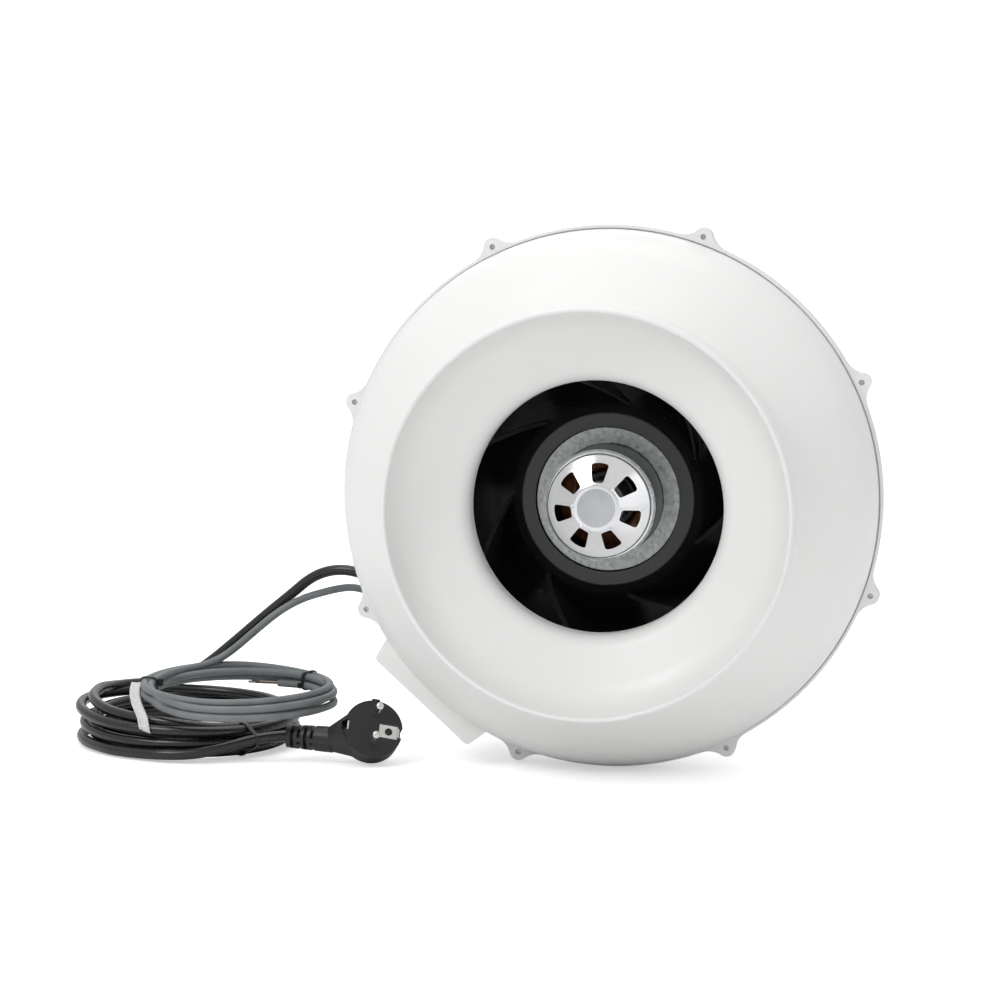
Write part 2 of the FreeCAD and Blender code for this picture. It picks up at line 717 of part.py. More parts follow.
def cap_beads(width, height):
    """One step of the pressed bead round every window."""
    y0, y1 = cap_crown_y - 5, cap_rim_y + 8
    front = offset_path([(cap_front_r, cap_rim_y + 2, 0)] + cap_face(), height)
    back = [(0, cap_crown_y + 1, 0), (cap_crown_r, cap_crown_y + 1, 0),
            (cap_front_r - 1, cap_rim_y + 1, 0), (cap_front_r - 1, cap_rim_y + 2, 0)]
    proud = revolve(front + back)
    spread = window_half_angle + math.degrees(2 * width / (window_inner_r + window_outer_r))
    bead = sector(window_inner_r - width, window_outer_r + width, spread, 1.6 + width, y0, y1)
    return around(window_count, window_first, lambda a: turned(bead, a).common(proud))


def rotor_cap():
    """Bright pressed cap with a pressed bead round each window and a socket for the shaft."""
    side_y = cap_rim_y + cap_groove_depth
    path = [(cap_r, side_y + 2.5, 0), (cap_r, side_y, 0), (cap_front_r, side_y, 0)] + cap_face()
    crown_rim = ring(cap_crown_r - 1.1, cap_crown_r, cap_crown_y - 0.6, cap_crown_y + 0.5)
    socket = disc(8.0, cap_crown_y + 0.5, cap_rim_y + 2)
    cap = fuse([revolved_sheet(path, -cap_wall), crown_rim, socket]
               + [bead for step in WINDOW_BEADS for bead in cap_beads(*step)])
    window = sector(window_inner_r, window_outer_r, window_half_angle, 1.6, cap_crown_y - 5, cap_rim_y + 8)
    for cutter in around(window_count, window_first, lambda a: turned(window, a)):
        cap = cap.cut(cutter)
    return cap.cut(disc(shaft_r, cap_crown_y + 2.5, cap_rim_y + 10)).removeSplitter()


def stator_core():
    core = ring(tube_r, stator_r, stack_front_y, stack_back_y)
    for k in range(slot_count):
        opening = Part.makeBox(8, 60, 2.4, V(stator_r - 6, stack_front_y - 5, -1.2))
        pocket = Part.makeCylinder(4.0, 60, V(24.5, stack_front_y - 5, 0), V(0, 1, 0))
        core = core.cut(turned(opening.fuse(pocket), 360.0 / slot_count * k))
    return core


def stator_windings():
    """A bundle of copper over each end of the stack, joined by a rod of wire through each slot."""
    bundles = []
    for y0, y1 in ((stack_front_y - 13, stack_front_y - 0.3), (stack_back_y + 0.3, stack_back_y + 6.5)):
        bundles.append(revolve([(17.5, y0, 4), (31.5, y0, 4), (31.5, y1, 1), (17.5, y1, 1)]))
    rods = around(slot_count, 0, lambda a: disc(3.6, stack_front_y - 2, stack_back_y + 2, polar(24.5, a)))
    return fuse(bundles + rods)


def stator_flange():
    flange = disc(flange_r, flange_front_y, flange_front_y + flange_thickness)
    tube = disc(tube_r - slip, bearing_ys[0] - bearing_width / 2 - 1.5, flange_front_y + 1)
    body = fuse([flange, tube])
    body = body.cut(disc(shaft_r + 1.5, -60, flange_front_y + 4))
    for y in bearing_ys:
        body = body.cut(disc(bearing_outer_r, y - bearing_width / 2, y + bearing_width / 2))
    body = body.cut(disc(bearing_outer_r, bearing_ys[0] - 10, bearing_ys[0]))
    body = body.cut(disc(bearing_outer_r, bearing_ys[1], flange_front_y + 3))
    for angle in arm_angles:
        place = polar(flange_screw_circle_r, angle + 45)
        body = body.cut(disc(flange_pilot_r, flange_front_y + 1, flange_front_y + 10, place))
    cable_hole = polar(cable_hole_circle_r, box_angle)
    return body.cut(disc(3.1, flange_front_y - 1, flange_front_y + 10, cable_hole))


def bearing_parts():
    """(outer races, inner races, balls, cages) of both bearings."""
    outer, inner, balls, cages = [], [], [], []
    half = bearing_width / 2
    for y in bearing_ys:
        groove = Part.makeTorus(ball_circle_r, ball_r + 0.08, V(0, y, 0), V(0, 1, 0))
        outer.append(ring(9.0, bearing_outer_r - slip, y - half, y + half).cut(groove))
        inner.append(ring(shaft_r + slip, 6.1, y - half, y + half).cut(groove))
        spots = [polar(ball_circle_r, 360.0 / ball_count * k, y) for k in range(ball_count)]
        balls += [Part.makeSphere(ball_r, spot) for spot in spots]
        cage = ring(6.6, 8.5, y + 0.9, y + 2.6)
        for spot in spots:
            cage = cage.cut(Part.makeSphere(ball_r + 0.01, spot))
        cages.append(cage)
    return outer, inner, balls, cages


def motor_bracket():
    y0 = bracket_y
    body = disc(bracket_disc_r, y0, y0 + bracket_thickness)
    arms = []
    for angle in arm_angles:
        start = bracket_disc_r - 6
        plate = Part.makeBox(arm_reach - start, bracket_thickness, arm_width, V(start, y0, -arm_width / 2))
        sides = [Part.makeBox(boss_circle_r - 12 - start - 8, arm_flange, 1.6, V(start + 8, y0, z))
                 for z in (-arm_width / 2, arm_width / 2 - 1.6)]
        arms += [turned(s, angle) for s in [plate] + sides]
    body = fuse([body] + arms)
    body = body.cut(disc(9.0, y0 - 1, y0 + 5))
    for angle in arm_angles:
        body = body.cut(disc(bracket_hole_r, y0 - 1, y0 + 5, polar(boss_circle_r, angle)))
        body = body.cut(disc(bracket_hole_r, y0 - 1, y0 + 5, polar(flange_screw_circle_r, angle + 45)))
    return body.cut(disc(4.2, y0 - 1, y0 + 5, polar(cable_hole_circle_r, box_angle)))


def bracket_screws():
    return around(4, arm_angles[0], lambda a: along(
        screw(1.45, 10, 3.8, 2.4), polar(boss_circle_r, a, bracket_y), V(0, 1, 0)))


def motor_screws():
    head_y = bracket_y + bracket_thickness
    return around(4, arm_angles[0] + 45, lambda a: along(
        screw(1.85, 6, 3.8, 2.4), polar(flange_screw_circle_r, a, head_y), V(0, -1, 0)))


# ==================================================================================================
# Cords and plug
# ==================================================================================================
def cord_tube(points, diameter, name):
    """A tube along straight runs joined by arcs, each arc as large as its two runs allow."""
    path = [V(*p) for p in points]
    edges, start, radii = [], path[0], []
    for before, corner, after in zip(path, path[1:], path[2:]):
        back, ahead = before - corner, after - corner
        shorter = min(back.Length, ahead.Length)
        back.normalize()
        ahead.normalize()
        half = back.getAngle(ahead) / 2
        reach = 0.45 * shorter
        radius = reach * math.tan(half)
        radii.append(round(radius, 1))
        bisector = back + ahead
        bisector.normalize()
        middle = corner + bisector * (radius / math.sin(half) - radius)
        entry, leave = corner + back * reach, corner + ahead * reach
        edges += [Part.LineSegment(start, entry).toShape(), Part.Arc(entry, middle, leave).toShape()]
        start = leave
    edges.append(Part.LineSegment(start, path[-1]).toShape())
    wire = Part.Wire(edges)
    section = Part.Wire(Part.makeCircle(diameter / 2, path[0], path[1] - path[0]))
    tube = wire.makePipeShell([section], True, False, 1)
    expected = math.pi * (diameter / 2) ** 2 * wire.Length
    print(name, "length", round(wire.Length, 1), "smallest bend", min(radii), "all", radii,
          "volume ratio", round(tube.Volume / expected, 4))
    return tube


def coil_solid(centre, radius, half_width, z0, z1):
    """The outer shape of a wound coil: a ring of rounded section that lies flat."""
    round_off = min(half_width, (z1 - z0) / 2) * 0.7
    section = face_of([(radius - half_width, z0, round_off), (radius + half_width, z0, round_off),
                       (radius + half_width, z1, round_off), (radius - half_width, z1, round_off)])
    coil = section.revolve(V(0, 0, 0), V(0, 1, 0), 360)
    coil.rotate(V(0, 0, 0), V(1, 0, 0), 90)
    coil.translate(V(centre[0], centre[1], 0))
    return coil


def coil_tie(centre, radius, half_width, z0, z1, degrees, strap_width):
    """A cable tie round a coil's section, with its head on top."""
    half = half_width + tie_gap
    low, high = max(z0 - tie_gap, tie_thickness), z1 + tie_gap
    corner_r = 3.0
    inner = [(-half, low, corner_r), (half, low, corner_r), (half, high, corner_r), (-half, high, corner_r)]
    outer = offset_path(inner + inner[:2], -tie_thickness)[1:5]
    head_long, head_high, head_wide = 4.2, 3.4, 4.6
    corner = V(-head_long / 2, high, (strap_width - head_wide) / 2)
    head = Part.makeBox(head_long, head_high, head_wide, corner)
    tie = fuse([prism(outer, strap_width).cut(prism(inner, strap_width)), head])
    tie.rotate(V(0, 0, 0), V(1, 0, 0), 90)
    tie.translate(V(radius, strap_width / 2, 0))
    tie.rotate(V(0, 0, 0), V(0, 0, 1), degrees)
    tie.translate(V(centre[0], centre[1], 0))
    return tie


def cable_tag():
    """A flat strip bent over the coil's edge, drawn in profile and extruded across its width."""
    strip = prism(TAG_PROFILE + offset_path(TAG_PROFILE, tag_thickness)[::-1], tag_width)
    strip.translate(V(0, 0, -tag_width / 2))
    way = unit_vector(tag_end - tag_start)
    up = V(0, 0, 1)
    strip.Placement = FreeCAD.Placement(
        tag_start, FreeCAD.Rotation(way, up, way.cross(up), "XYZ")).multiply(strip.Placement)
    return strip


def unit_vector(vector):
    return vector / vector.Length


def plug_placement():
    """Puts X along the pins' line, Y to the earth contact and Z along the pins, at the face's centre."""
    pins_way = unit_vector(plug_pin_dir)
    line = unit_vector(plug_earth_dir.cross(pins_way))
    earth_way = pins_way.cross(line)
    return FreeCAD.Placement(plug_face, FreeCAD.Rotation(line, earth_way, pins_way, "ZXY"))


def on_plug(shape):
    copy = shape.copy()
    copy.Placement = plug_placement().multiply(copy.Placement)
    return copy


def plug_body():
    """Moulded body: a drum with two side grooves, and a rounded back that narrows to the cable."""
    pins_way = unit_vector(plug_pin_dir)
    cable = unit_vector(plug_cable_dir)
    stub_end = relief_start + cable * relief_length
    collar = along(Part.makeCylinder(relief_r[1], plug_collar_length), stub_end, cable)
    root = stub_end + cable * (plug_collar_length - 2)
    swell = plug_face - pins_way * (plug_face_depth * 0.55) - root
    tangent = math.asin((plug_swell_r - relief_r[1]) / swell.Length)
    cone_end_r = plug_swell_r * math.cos(tangent)
    cone_length = swell.Length - plug_swell_r * math.sin(tangent)
    back = Part.makeSphere(plug_swell_r, root + swell)
    back = back.fuse(along(Part.makeCone(relief_r[1] - 0.3, cone_end_r, cone_length), root, swell))
    back = back.cut(on_plug(Part.makeCylinder(60, 40, V(0, 0, -plug_face_depth * 0.15))))
    drum = Part.makeCylinder(plug_face_r, plug_face_depth, V(0, 0, -plug_face_depth))
    guide = Part.makeBox(6, 5, 8, V(-plug_face_r - 2.5, -2.5, -plug_face_depth + 1))
    body = back.fuse(collar).fuse(on_plug(drum)).fuse(on_plug(guide))
    for side in (-1, 1):
        groove = Part.makeBox(6.4, 4.2, 12.0, V(-3.2, side * (plug_face_r - 1.0) - 2.1, -9.5))
        body = body.cut(on_plug(groove))
        body = body.cut(on_plug(Part.makeCylinder(plug_pin_r, 9, V(side * plug_pin_pitch / 2, 0, -8))))
    window = Part.makeBox(9.2, 12.2, 6.0, V(-4.6, 3.6, -2.8))
    return body.cut(on_plug(window))


def plug_metal():
    """(pins, earth contact and side clips) of the plug."""
    pins = []
    for side in (-1, 1):
        pin = Part.makeCylinder(plug_pin_r, 8 + plug_pin_length, V(side * plug_pin_pitch / 2, 0, -8))
        pins.append(on_plug(pin.makeFillet(1.6, [pin.Edges[0]])))
    plate = Part.makeBox(9.0, 11.8, 1.6, V(-4.5, 3.8, -2.8))
    plate = plate.cut(Part.makeCylinder(2.4, 4, V(0, earth_offset, -4)))
    clip_y = plug_face_r - 2.6
    clips = [Part.makeBox(5.6, 1.0, 8.5, V(-2.8, side * clip_y - 0.5, -9.3)) for side in (-1, 1)]
    return pins, [on_plug(s) for s in [plate] + clips]


def strain_relief():
    """Ribbed sleeve where the cord enters the plug."""
    sleeve = Part.makeCone(relief_r[0], relief_r[1], relief_length)
    for k in range(4):
        z = 3.2 + 4.4 * k
        groove = Part.makeCylinder(12, 2.2, V(0, 0, z)).cut(Part.makeCylinder(4.6, 2.2, V(0, 0, z)))
        bridge = Part.makeBox(30, 3.0, 3, V(-15, -1.5, z - 0.4))
        bridge.rotate(V(0, 0, 0), V(0, 0, 1), 90 * (k % 2))
        sleeve = sleeve.cut(groove.cut(bridge))
    return along(sleeve.removeSplitter(), relief_start, unit_vector(plug_cable_dir))


# ==================================================================================================
# The nodes
# ==================================================================================================
def build_casing():
    keep("inlet_casing", lifted(inlet_casing()))
    keep("outlet_casing", lifted(outlet_casing()))
    keep("casing_gasket", lifted(ring(shoulder_r - 2.2, rim_r - 0.8, -seam_half, seam_half)))
    keep("casing_screws", [lifted(s) for s in casing_screws()])
    lid, seal, screws = terminal_box_parts()
    block, clamps = terminal_block_parts()
    keep("terminal_box_lid", lifted(lid))
    keep("terminal_box_seal", lifted(seal))
    keep("terminal_box_screws", [lifted(s) for s in screws])
    keep("terminal_block", lifted(block))
    keep("terminal_block_clamps", [lifted(s) for s in clamps])
    keep("capacitor", lifted(capacitor()))
    keep("motor_cable", lifted(motor_cable()))
    keep("cable_grommet", lifted(cable_grommet()))
    mains = (mains_gland_u, mains_gland_y, mains_d, mains_gland_thread_r, mains_gland_flats)
    control = (control_gland_u, control_gland_y, control_d, control_gland_thread_r, control_gland_flats)
    for cord, sizes in (("mains", mains), ("control", control)):
        for piece, shape in zip(("body", "cap", "locknut", "seal"), gland_parts(*sizes)):
            keep(f"{cord}_gland_{piece}", lifted(shape))


def build_motor():
    keep("motor_bracket", lifted(motor_bracket()))
    keep("bracket_screws", [lifted(s) for s in bracket_screws()])
    keep("motor_screws", [lifted(s) for s in motor_screws()])
    keep("stator_flange", lifted(stator_flange()))
    keep("stator_core", lifted(stator_core()))
    keep("stator_windings", lifted(stator_windings()))
    outer, inner, balls, cages = bearing_parts()
    keep("bearing_outer_races", [lifted(s) for s in outer])
    keep("bearing_inner_races", [lifted(s) for s in inner])
    keep("bearing_balls", [lifted(s) for s in balls])
    keep("bearing_cages", [lifted(s) for s in cages])
    keep("rotor_shaft", lifted(disc(shaft_r, cap_crown_y + 2.5, flange_front_y + 2)))
    keep("rotor_cup", lifted(rotor_cup()))
    keep("rotor_magnets", lifted(
        ring(magnet_inner_r, rotor_r - rotor_wall - slip, stack_front_y, stack_back_y)))
    keep("rotor_cap", lifted(rotor_cap()))
    keep("rotor_label", lifted(disc(cap_crown_r - 1.3, cap_crown_y - 0.3, cap_crown_y)))


def build_impeller():
    keep("impeller_wheel", lifted(impeller_wheel()))
    keep("impeller_shroud", lifted(impeller_shroud()))


def build_cords():
    mains_section = (mains_coil_centre, mains_coil_r, mains_coil_half_width, 0.0, mains_coil_top)
    control_section = (control_coil_centre, control_coil_r, control_coil_half_width,
                       control_coil_bottom, control_coil_top)
    mains_coil = coil_solid(*mains_section)
    control_coil = coil_solid(*control_section)
    mains_tie = coil_tie(*mains_section, mains_tie_angle, mains_tie_width)
    control_ties = [coil_tie(*control_section, a, control_tie_width) for a in control_tie_angles]
    for tie in [mains_tie] + control_ties:
        mains_coil = mains_coil.cut(tie)
        control_coil = control_coil.cut(tie)
    keep("mains_coil", mains_coil)
    keep("control_coil", control_coil)
    keep("mains_tie", mains_tie)
    keep("control_ties", control_ties)
    keep("cable_tag", cable_tag())
    coils = mains_coil.fuse(control_coil).fuse(mains_tie)
    keep("mains_lead", largest(cord_tube(MAINS_ROUTE, mains_d, "mains lead").cut(coils)))
    sleeve = along(Part.makeCone(*relief_r, relief_length), relief_start, unit_vector(plug_cable_dir))
    keep("mains_tail", largest(cord_tube(MAINS_TAIL, mains_d, "mains tail").cut(coils).cut(sleeve)))
    keep("control_lead", largest(cord_tube(CONTROL_ROUTE, control_d, "control lead").cut(coils)))
    keep("plug_body", plug_body())
    pins, earth = plug_metal()
    keep("plug_pins", pins)
    keep("plug_earth_contacts", earth)
    keep("plug_strain_relief", strain_relief())


def largest(shape):
    return max(shape.Solids, key=lambda s: s.Volume)


def main():
    build_casing()
    build_motor()
    build_impeller()
    build_cords()
    for name, shape in nodes.items():
        shape.exportStep(os.path.join(OUT, name + ".step"))
    print(len(nodes), "nodes")


if __name__ == "__main__":
    main()
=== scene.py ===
import json
import math

import bmesh
import bpy
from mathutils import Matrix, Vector


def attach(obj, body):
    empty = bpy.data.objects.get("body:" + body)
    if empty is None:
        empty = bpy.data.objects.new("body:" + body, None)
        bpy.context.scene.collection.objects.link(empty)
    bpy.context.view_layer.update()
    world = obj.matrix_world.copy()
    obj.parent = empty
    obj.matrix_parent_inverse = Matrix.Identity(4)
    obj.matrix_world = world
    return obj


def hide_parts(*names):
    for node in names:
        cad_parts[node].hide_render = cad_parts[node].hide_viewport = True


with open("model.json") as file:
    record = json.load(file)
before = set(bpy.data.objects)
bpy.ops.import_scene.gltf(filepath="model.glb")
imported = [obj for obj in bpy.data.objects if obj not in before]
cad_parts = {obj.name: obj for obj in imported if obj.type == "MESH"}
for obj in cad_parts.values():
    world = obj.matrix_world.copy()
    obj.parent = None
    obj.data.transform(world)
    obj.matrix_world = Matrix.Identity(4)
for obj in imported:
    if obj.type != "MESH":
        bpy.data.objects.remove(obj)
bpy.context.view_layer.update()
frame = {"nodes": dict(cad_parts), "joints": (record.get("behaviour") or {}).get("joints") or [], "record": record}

# An inline duct fan on a white studio floor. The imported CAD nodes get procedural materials, and the two leads
# are modelled here, with their straps, the tag and the stripped cores. Metres, with +Z up and the fan's axis
# parallel to Y.

AXIS_HEIGHT = frame["joints"][0]["pos_m"][2]
MM = 0.001

# ---- camera --------------------------------------------------------------------------------------
CAMERA_AZIMUTH = math.radians(10.33)      # to the right of the fan's axis, seen from the inlet
CAMERA_ELEVATION = math.radians(6.49)
CAMERA_DISTANCE = 1.987
CAMERA_TARGET = Vector((-0.0703, 0.0, 0.1668))
CAMERA_LENS = 113.54

# ---- cords: the routes of the CAD model's tubes --------------------------------------------------
MAINS_D = 0.007
MAINS_ROUTE = [
    (-0.15104, 0.0585, 0.09834), (-0.16004, 0.0585, 0.10375), (-0.1697, 0.0588, 0.1086),
    (-0.1834, 0.0600, 0.1119), (-0.1972, 0.0628, 0.1104), (-0.2103, 0.0672, 0.1044),
    (-0.2222, 0.0720, 0.0944), (-0.2430, 0.0778, 0.0778), (-0.2680, 0.0838, 0.0566),
    (-0.2880, 0.0898, 0.0405), (-0.3035, 0.0926, 0.0312), (-0.3190, 0.0916, 0.0270),
]
MAINS_TAIL = [
    (-0.2620, -0.0430, 0.0055), (-0.2470, -0.0386, 0.0080), (-0.2320, -0.0306, 0.0116),
    (-0.2176, -0.0234, 0.0146), (-0.2033, -0.0208, 0.0154),
]
CONTROL_D = 0.005
CONTROL_ROUTE = [
    (-0.15707, 0.0703, 0.0883), (-0.1652, 0.0703, 0.0932), (-0.1734, 0.0703, 0.0972),
    (-0.1832, 0.0703, 0.0989), (-0.1934, 0.0704, 0.0972), (-0.2040, 0.0701, 0.0943),
    (-0.2150, 0.0695, 0.0908), (-0.2260, 0.0689, 0.0852), (-0.2365, 0.0690, 0.0779),
    (-0.2470, 0.0686, 0.0690), (-0.2575, 0.0679, 0.0598), (-0.2670, 0.0660, 0.0520),
    (-0.2760, 0.0624, 0.0470), (-0.2845, 0.0572, 0.0446),
]
CONTROL_END = [(-0.2078, 0.0502, 0.0355), (-0.2190, 0.0592, 0.0347), (-0.2310, 0.0640, 0.0343)]
POINTS_PER_TURN = 14

# Each coil: its centre, where it starts and ends, the angles round it where its strands' places are given,
# and at each of those in turn the (radius, height) of the strand, one row for each time round. lead_in gives
# more places, as (angle, radius, height), before the first row. All in mm and degrees.
MAINS_COIL = {
    "centre": (-282, 30),
    "start": (-319.0, 91.6, 27.0),
    "lead_in": [(138, 73.0, 28)],
    "end": (-262.0, -43.0, 5.5),
    "stations": [180, 250, 316, 420],
    "strands": [
        [(64, 32), (60, 25), (63, 18), (61, 21.5)],
        [(73, 25.5), (65.5, 19.5), (70, 17.5), (68, 18.5)],
        [(62, 19), (58, 14.5), (62.5, 11), (60, 13)],
        [(70, 15), (65, 10.5), (69.8, 10.5), (67, 9)],
        [(64, 9), (59, 5), (63, 4), (61, 4.2)],
        [(72, 5), (68, 4)],
    ],
    "ties": [316],
    "diameter": MAINS_D,
}
CONTROL_COIL = {
    "centre": (-246, 12),
    "start": (-284.5, 57.2, 44.6),
    "lead_in": [],
    "end": (-207.8, 50.2, 35.5),
    "stations": [186, 270, 360, 408, 475],
    "strands": [
        [(60.2, 42.6), (55, 39), (60.5, 41), (59.6, 41.2), (60, 45)],
        [(55.0, 42.4), (60, 35.3), (65, 37.5), (54.4, 41.0), (52.5, 41.5)],
        [(60.4, 37.4), (54.8, 33.6), (59, 34.5), (59.8, 36.0), (58.5, 37.2)],
        [(55.2, 37.2), (61.5, 30.5), (64, 31)],
    ],
    "ties": [186, 408],
    "diameter": CONTROL_D,
}
TAIL_AT_TIE = (0.0805, 0.0125)      # radius and height of the lead to the plug where the strap holds it
STRAP_THICKNESS = 0.0010
STRAP_GAP = 0.0001
STRAP_STEPS = 64
MAINS_STRAP_WIDTH = 0.0028
CONTROL_STRAP_WIDTH = 0.0022

# The tag's middle line, in mm, from the control lead's left strap down over the mains coil.
TAG_SPINE = [
    (-310.5, 3, 42.5), (-309, -6, 40.0), (-306.5, -15, 37.0), (-302.5, -24, 33.5),
    (-298, -32.5, 30.5), (-294.5, -38, 27.0), (-292.5, -41, 21.0),
]
TAG_WIDTH = 6.6
TAG_HALF_THICKNESS = 0.0004
TAG_SLANT = 0.004                   # how much longer its right edge is than its left

CORE_D = 0.0014
FERRULE_D = 0.0017
CORE_COLOURS = {"brown": (0.10, 0.035, 0.015), "white": (0.7, 0.7, 0.68), "green": (0.03, 0.16, 0.04)}


# ==================================================================================================
# Camera, lights, floor
# ==================================================================================================
def make_camera():
    direction = Vector((
        math.sin(CAMERA_AZIMUTH) * math.cos(CAMERA_ELEVATION),
        -math.cos(CAMERA_AZIMUTH) * math.cos(CAMERA_ELEVATION),
        math.sin(CAMERA_ELEVATION),
    ))
    data = bpy.data.cameras.new("camera")
    data.lens = CAMERA_LENS
    data.sensor_width = 36.0
    data.clip_end = 100.0
    camera = bpy.data.objects.new("camera", data)
    camera.location = CAMERA_TARGET + direction * CAMERA_DISTANCE
    camera.rotation_euler = direction.to_track_quat("Z", "Y").to_euler()
    bpy.context.scene.collection.objects.link(camera)
    bpy.context.scene.camera = camera


def softbox(name, location, target, size, power, colour=(1.0, 1.0, 1.0)):
    data = bpy.data.lights.new(name, "AREA")
    data.shape = "RECTANGLE"
    data.size, data.size_y = size
    data.energy = power
    data.color = colour
    light = bpy.data.objects.new(name, data)
    light.location = location
    light.rotation_euler = (Vector(location) - Vector(target)).to_track_quat("Z", "Y").to_euler()
    bpy.context.scene.collection.objects.link(light)


def make_lights():
    middle = (-0.05, 0.0, 0.17)
    softbox("key_softbox", (-1.5, -1.7, 2.3), middle, (1.2, 1.2), 26)
    softbox("top_softbox", (-0.2, 0.4, 2.4), middle, (2.0, 1.6), 14)
    softbox("fill_softbox", (2.2, -2.0, 1.0), middle, (1.6, 2.0), 5)
    softbox("rear_softbox", (-0.6, 2.6, 1.6), middle, (2.0, 1.4), 6)
    make_studio_walls()


def make_studio_walls():
    """White all round: pure white to the camera, and a little darker low down in what lights the fan."""
    world = bpy.data.worlds.new("studio")
    bpy.context.scene.world = world
    world.use_nodes = True
    tree = world.node_tree
    seen = tree.nodes["Background"]
    seen.inputs["Color"].default_value = (1.0, 1.0, 1.0, 1.0)
    seen.inputs["Strength"].default_value = 1.0
    lit = tree.nodes.new("ShaderNodeBackground")
    split = tree.nodes.new("ShaderNodeSeparateXYZ")
    ramp = tree.nodes.new("ShaderNodeValToRGB")
    place = tree.nodes.new("ShaderNodeTexCoord")
    tree.links.new(place.outputs["Generated"], split.inputs[0])
    tree.links.new(split.outputs["Z"], ramp.inputs["Fac"])
    tree.links.new(ramp.outputs["Color"], lit.inputs["Color"])
    ramp.color_ramp.elements[0].position = 0.10
    ramp.color_ramp.elements[0].color = (0.60, 0.60, 0.61, 1.0)
    ramp.color_ramp.elements[1].position = 0.60
    ramp.color_ramp.elements[1].color = (0.74, 0.74, 0.74, 1.0)
    lit.inputs["Strength"].default_value = 1.0
    mix = tree.nodes.new("ShaderNodeMixShader")
    path = tree.nodes.new("ShaderNodeLightPath")
    tree.links.new(path.outputs["Is Camera Ray"], mix.inputs["Fac"])
    tree.links.new(lit.outputs[0], mix.inputs[1])
    tree.links.new(seen.outputs[0], mix.inputs[2])
    tree.links.new(mix.outputs[0], tree.nodes["World Output"].inputs["Surface"])


def make_floor():
    mesh = bpy.data.meshes.new("floor")
    shape = bmesh.new()
    bmesh.ops.create_circle(shape, cap_ends=True, segments=96, radius=14.0)
    shape.to_mesh(mesh)
    shape.free()
    floor = bpy.data.objects.new("floor", mesh)
    floor.location = (0.0, 0.0, -0.0003)
    bpy.context.scene.collection.objects.link(floor)
    mesh.materials.append(floor_material())


# ==================================================================================================
# Materials
# ==================================================================================================
class Recipe:
    """Short calls for building one material's nodes."""

    def __init__(self, name):
        self.material = bpy.data.materials.new(name)
        self.material.use_nodes = True
        self.tree = self.material.node_tree
        self.shader = self.tree.nodes["Principled BSDF"]
        self.coordinates = self.tree.nodes.new("ShaderNodeTexCoord").outputs["Object"]

    def set(self, **values):
        for name, value in values.items():
            self.shader.inputs[name.replace("_", " ")].default_value = value
        return self

    def link(self, output, socket):
        self.tree.links.new(output, socket)

    def mapped(self, scale, move=(0.0, 0.0, 0.0)):
        node = self.tree.nodes.new("ShaderNodeMapping")
        node.inputs["Scale"].default_value = scale
        node.inputs["Location"].default_value = move
        self.link(self.coordinates, node.inputs["Vector"])
        return node.outputs["Vector"]

    def noise(self, scale, detail=3.0, roughness=0.55, vector=None):
        node = self.tree.nodes.new("ShaderNodeTexNoise")
        node.inputs["Scale"].default_value = scale
        node.inputs["Detail"].default_value = detail
        node.inputs["Roughness"].default_value = roughness
        self.link(self.coordinates if vector is None else vector, node.inputs["Vector"])
        return node.outputs["Fac"]

    def cells(self, scale, output="Color", randomness=1.0, feature="F1"):
        node = self.tree.nodes.new("ShaderNodeTexVoronoi")
        node.feature = feature
        node.inputs["Scale"].default_value = scale
        node.inputs["Randomness"].default_value = randomness
        self.link(self.coordinates, node.inputs["Vector"])
        return node.outputs[output]

    def rings(self, centre, scale, detail=2.0):
        """Noise that only varies with distance from the fan's axis, as on a spun or turned face."""
        split = self.tree.nodes.new("ShaderNodeSeparateXYZ")
        self.link(self.mapped((1.0, 1.0, 1.0), (-centre[0], 0.0, -centre[2])), split.inputs[0])
        square_x = self.maths("MULTIPLY", split.outputs["X"], split.outputs["X"])
        square_z = self.maths("MULTIPLY", split.outputs["Z"], split.outputs["Z"])
        radius = self.maths("SQRT", self.maths("ADD", square_x, square_z))
        joined = self.tree.nodes.new("ShaderNodeCombineXYZ")
        self.link(radius, joined.inputs["X"])
        return self.noise(scale, detail, vector=joined.outputs[0])

    def maths(self, operation, a, b=None):
        node = self.tree.nodes.new("ShaderNodeMath")
        node.operation = operation
        for value, socket in ((a, node.inputs[0]), (b, node.inputs[1])):
            if isinstance(value, (int, float)):
                socket.default_value = value
            elif value is not None:
                self.link(value, socket)
        return node.outputs[0]

    def remap(self, value, low, high, from_low=0.3, from_high=0.7):
        node = self.tree.nodes.new("ShaderNodeMapRange")
        limits = {"From Min": from_low, "From Max": from_high, "To Min": low, "To Max": high}
        for name, number in limits.items():
            node.inputs[name].default_value = number
        self.link(value, node.inputs["Value"])
        return node.outputs["Result"]

    def blend(self, factor, first, second):
        node = self.tree.nodes.new("ShaderNodeMix")
        node.data_type = "RGBA"
        node.inputs["A"].default_value = (*first, 1.0)
        node.inputs["B"].default_value = (*second, 1.0)
        self.link(factor, node.inputs["Factor"])
        return node.outputs["Result"]

    def colour(self, output):
        self.link(output, self.shader.inputs["Base Color"])
        return self

    def roughness(self, output):
        self.link(output, self.shader.inputs["Roughness"])
        return self

    def bump(self, height, strength, distance):
        node = self.tree.nodes.new("ShaderNodeBump")
        node.inputs["Strength"].default_value = strength
        node.inputs["Distance"].default_value = distance
        self.link(height, node.inputs["Height"])
        previous = self.shader.inputs["Normal"].links
        if previous:
            self.link(previous[0].from_socket, node.inputs["Normal"])
        self.link(node.outputs["Normal"], self.shader.inputs["Normal"])
        return self


